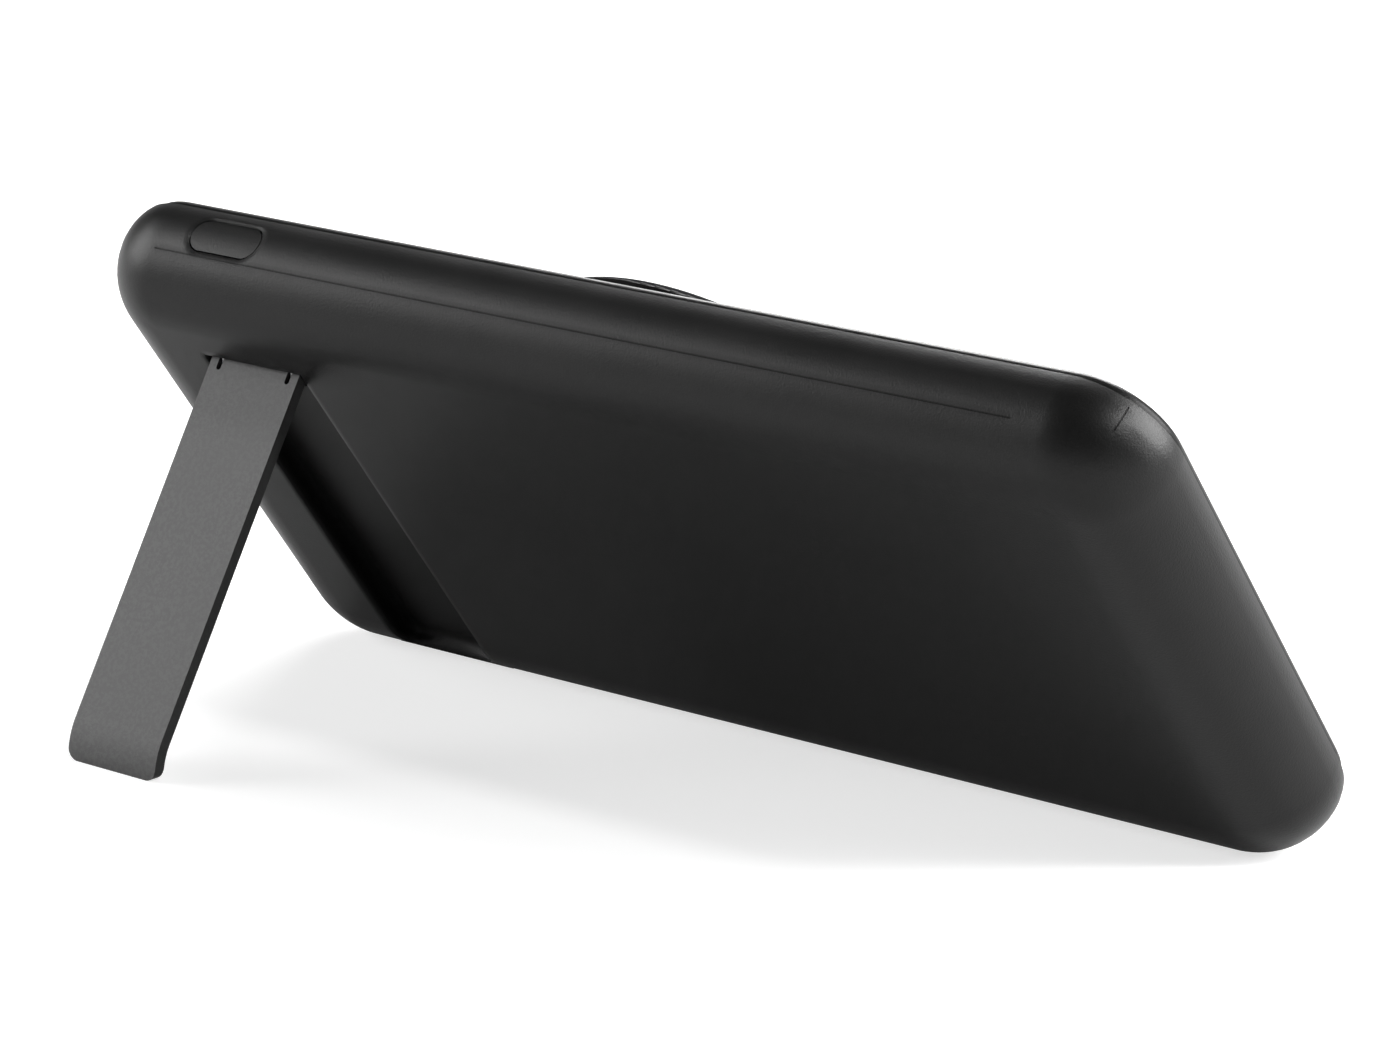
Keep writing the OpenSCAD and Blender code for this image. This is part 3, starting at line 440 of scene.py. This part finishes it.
DRAWN_ALONG_X = (0.08, 1, 1)
ROLLED_ALONG_X = (0.1, 1, 1)
COIL = winding("coil_copper")
CHIP = plastic("chip", (0.025, 0.025, 0.026), 0.5)
STEEL = metal("spring_steel", (0.46, 0.46, 0.47), 0.34, DRAWN_ALONG_X)
SCREW = metal("screw_steel", (0.42, 0.42, 0.44), 0.32)
SOCKET = metal("socket_steel", (0.56, 0.56, 0.57), 0.28, ROLLED_ALONG_X)
INSULATOR = plastic("socket_plastic", (0.020, 0.020, 0.021), 0.45)
WHITE = plastic("white_plastic", (0.72, 0.73, 0.73), 0.35)
PAD_SURFACE = {"grain": 3200, "depth": 0.00005, "Specular_IOR_Level": 0.08}
CLEAR_SURFACE = {"Transmission_Weight": 0.85, "IOR": 1.49}

# Each call gives the material's name, its base tone or colour, and mostly its roughness
FINISH = {
    "back_shell": shell_black("shell_black", 0.0068, 0.36),
    "front_cover": cover_black("cover_black", 0.007, 0.30),
    "pad_skin": plastic("pad_silicone", (0.019, 0.019, 0.020), 0.62, **PAD_SURFACE),
    "power_button": button_black("button_black", 0.010, 0.38),
    "kickstand": powder_coat("stand_grey", 0.094),
    "hinge_pin": STEEL,
    "hinge_bracket": STEEL,
    "bracket_screws": SCREW,
    "magnet_ring": metal("magnet_nickel", (0.62, 0.61, 0.58), 0.22),
    "magnet_backplate": STEEL,
    "charging_coil": COIL,
    "ferrite_sheet": plastic("ferrite", (0.05, 0.05, 0.052), 0.55, grain=1600),
    "coil_leads": COIL,
    "coil_foam": foam("foam"),
    "battery_cell": foil("cell_foil"),
    "cell_tape": plastic("tape", (0.20, 0.19, 0.17), 0.6, grain=900),
    "cell_tabs": metal("nickel_tab", (0.58, 0.57, 0.54), 0.35, ROLLED_ALONG_X),
    "main_board": circuit_board("board"),
    "board_screws": SCREW,
    "usb_c_shell": SOCKET,
    "usb_c_tongue": INSULATOR,
    "usb_a_shell": SOCKET,
    "usb_a_tongue": INSULATOR,
    "side_switch": CHIP,
    "switch_plunger": WHITE,
    "leds": WHITE,
    "light_pipe": plastic("clear_pipe", (0.86, 0.88, 0.88), 0.18, **CLEAR_SURFACE),
    "power_chokes": plastic("choke", (0.11, 0.11, 0.115), 0.6, grain=1400, depth=0.00008),
    "control_chips": CHIP,
    "capacitors": plastic("capacitor", (0.34, 0.22, 0.12), 0.4),
}
for node, material in FINISH.items():
    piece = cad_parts[node]
    piece.data.materials.clear()
    piece.data.materials.append(material)


# Room: a pale floor that rises into a backdrop far behind, and a plain world

# Painted shade: both glows below are lower near the object, which paints a shadow pool round it
# How white the floor shows to the camera, by the distance from the object in metres
SHOWN_STOPS = ((0.0, 0.66), (0.6, 0.95))
# How white it shows in reflections, so that the leaning back stays dark as in the photograph
MIRRORED_STOPS = ((0.03, 0.06), (0.13, 0.27), (1.0, 0.60))
# The rings of equal distance are ovals, drawn out along the body
OVAL = (0.45, 1, 1)
OVAL_SHIFT = (0.012, 0.012, 0)


def floor_material():
    """Pale paper with its real light shadow near the object, where its glow is also painted lower as a shadow
    pool; it runs off white into the distance.
    """
    n = Nodes("floor_pale")
    tone = n.mix(n.noise(9), grey(0.56), grey(0.58))
    light = n.add("ShaderNodeLightPath")
    seen = n.larger(light.outputs["Is Camera Ray"], light.outputs["Is Transmission Ray"])
    oval = n.add("ShaderNodeMapping", vector_type="POINT")
    oval.inputs["Location"].default_value = OVAL_SHIFT
    oval.inputs["Scale"].default_value = OVAL
    away = n.add("ShaderNodeVectorMath", operation="LENGTH")
    n.link(n.add("ShaderNodeTexCoord").outputs["Object"], oval.inputs["Vector"])
    n.link(oval.outputs["Vector"], away.inputs[0])
    # Painted shadow pool: the glow seen and the glow mirrored rise with the distance from the object
    shown = n.times(seen, n.ramp(away.outputs["Value"], *SHOWN_STOPS))
    mirrored = n.times(light.outputs["Is Glossy Ray"], n.ramp(away.outputs["Value"], *MIRRORED_STOPS))
    return n.set(Base_Color=tone, Roughness=0.9, Specular_IOR_Level=0.0, Emission_Color=(1, 1, 1, 1),
                 Emission_Strength=n.larger(shown, mirrored))


def make_floor():
    """A sheet that lies flat under the object and bends up into a backdrop far behind, in metres."""
    front, bend, bend_r, top, half_width, bend_steps = -6.0, 3.0, 1.5, 5.0, 7.0, 12
    rows = [(front, 0.0)]
    for i in range(bend_steps + 1):
        a = math.radians(90 * i / bend_steps)
        rows.append((bend + bend_r * math.sin(a), bend_r - bend_r * math.cos(a)))
    rows.append((bend + bend_r, top))
    verts = [(x, y, z) for y, z in rows for x in (-half_width, half_width)]
    faces = [(2 * i, 2 * i + 1, 2 * i + 3, 2 * i + 2) for i in range(len(rows) - 1)]
    mesh = bpy.data.meshes.new("floor")
    mesh.from_pydata(verts, [], faces)
    mesh.shade_smooth()
    floor = bpy.data.objects.new("floor", mesh)
    bpy.context.scene.collection.objects.link(floor)
    mesh.materials.append(floor_material())


# The world's strength where it only lights, and the heights between which its white fades in reflections
WORLD_DIM = 0.05
MIRRORED_WHITE = 0.6
MIRRORED_FADE = (0.04, 0.30)


def make_world():
    """White where the background shows, pale in reflections near the level, and dim where it only lights."""
    world = bpy.data.worlds.new("room")
    bpy.context.scene.world = world
    world.use_nodes = True
    tree = world.node_tree
    tree.nodes.clear()
    link = tree.links.new

    def background(strength):
        node = tree.nodes.new("ShaderNodeBackground")
        node.inputs["Color"].default_value = (1, 1, 1, 1)
        node.inputs["Strength"].default_value = strength
        return node.outputs[0]

    def joined(operation, a, b):
        node = tree.nodes.new("ShaderNodeMath")
        node.operation = operation
        link(a, node.inputs[0])
        link(b, node.inputs[1])
        return node.outputs[0]

    light = tree.nodes.new("ShaderNodeLightPath")
    parts = tree.nodes.new("ShaderNodeSeparateXYZ")
    link(tree.nodes.new("ShaderNodeTexCoord").outputs["Generated"], parts.inputs[0])
    fade = tree.nodes.new("ShaderNodeMapRange")
    fade.interpolation_type = "SMOOTHSTEP"
    fade.inputs["From Min"].default_value, fade.inputs["From Max"].default_value = MIRRORED_FADE
    fade.inputs["To Min"].default_value = MIRRORED_WHITE
    fade.inputs["To Max"].default_value = 0.0
    link(parts.outputs[2], fade.inputs["Value"])
    mirrored = joined("MULTIPLY", light.outputs["Is Glossy Ray"], fade.outputs[0])
    seen = joined("MAXIMUM", light.outputs["Is Camera Ray"], light.outputs["Is Transmission Ray"])
    mix = tree.nodes.new("ShaderNodeMixShader")
    link(joined("MAXIMUM", seen, mirrored), mix.inputs["Fac"])
    link(background(WORLD_DIM), mix.inputs[1])
    link(background(1.0), mix.inputs[2])
    link(mix.outputs[0], tree.nodes.new("ShaderNodeOutputWorld").inputs["Surface"])


# Lamps: the direction from the object, the distance, the side lengths in metres and the power in watts
LAMP_AIM = Vector((0.0, 0.0, 0.03))
LAMPS = {
    "back_right": ((0.68, 0.52, 0.52), 1.6, (1.3, 1.2), 67),
    "back_left": ((-0.43, 0.75, 0.50), 1.6, (0.7, 0.7), 24),
    "key_left": ((-0.86, -0.42, 0.36), 1.6, (0.9, 0.9), 17),
    "corner_right": ((0.665, -0.05, 0.746), 1.3, (0.14, 0.14), 5.8),
}


def softbox(name, direction, distance, sides, power):
    """An area light that shines at the object, its width level."""
    data = bpy.data.lights.new(name, "AREA")
    data.shape = "RECTANGLE"
    data.size, data.size_y = sides
    data.energy = power
    lamp = bpy.data.objects.new(name, data)
    bpy.context.scene.collection.objects.link(lamp)
    towards = Vector(direction).normalized()
    lamp.location = LAMP_AIM + towards * distance
    lamp.rotation_euler = (-towards).to_track_quat("-Z", "Y").to_euler()


# The camera in the device frame: its place in mm and its directions, solved from the photograph
CAMERA_PLACE = (388.41367, 416.17657, 260.81473)
CAMERA_RIGHT = (0.76771905, -0.38858789, -0.50951636)
CAMERA_DOWN = (0.17168880, -0.64132909, 0.74781010)
CAMERA_FORWARD = (-0.61735761, -0.66158631, -0.42564437)
CAMERA_LENS = 142.462


def make_camera():
    """The camera at the photograph's place."""
    data = bpy.data.cameras.new("camera")
    data.sensor_fit = "HORIZONTAL"
    data.sensor_width = 36.0
    data.lens = CAMERA_LENS
    data.clip_start = 0.01
    data.clip_end = 30
    camera = bpy.data.objects.new("camera", data)
    bpy.context.scene.collection.objects.link(camera)
    right, down, forward = turned(CAMERA_RIGHT), turned(CAMERA_DOWN), turned(CAMERA_FORWARD)
    rows = zip(right, -down, -forward, placed(CAMERA_PLACE))
    camera.matrix_world = Matrix([*rows, (0, 0, 0, 1)])
    bpy.context.scene.camera = camera


make_floor()
make_world()
for lamp_name, settings in LAMPS.items():
    softbox(lamp_name, *settings)
make_camera()
bpy.context.scene.view_settings.view_transform = "Standard"
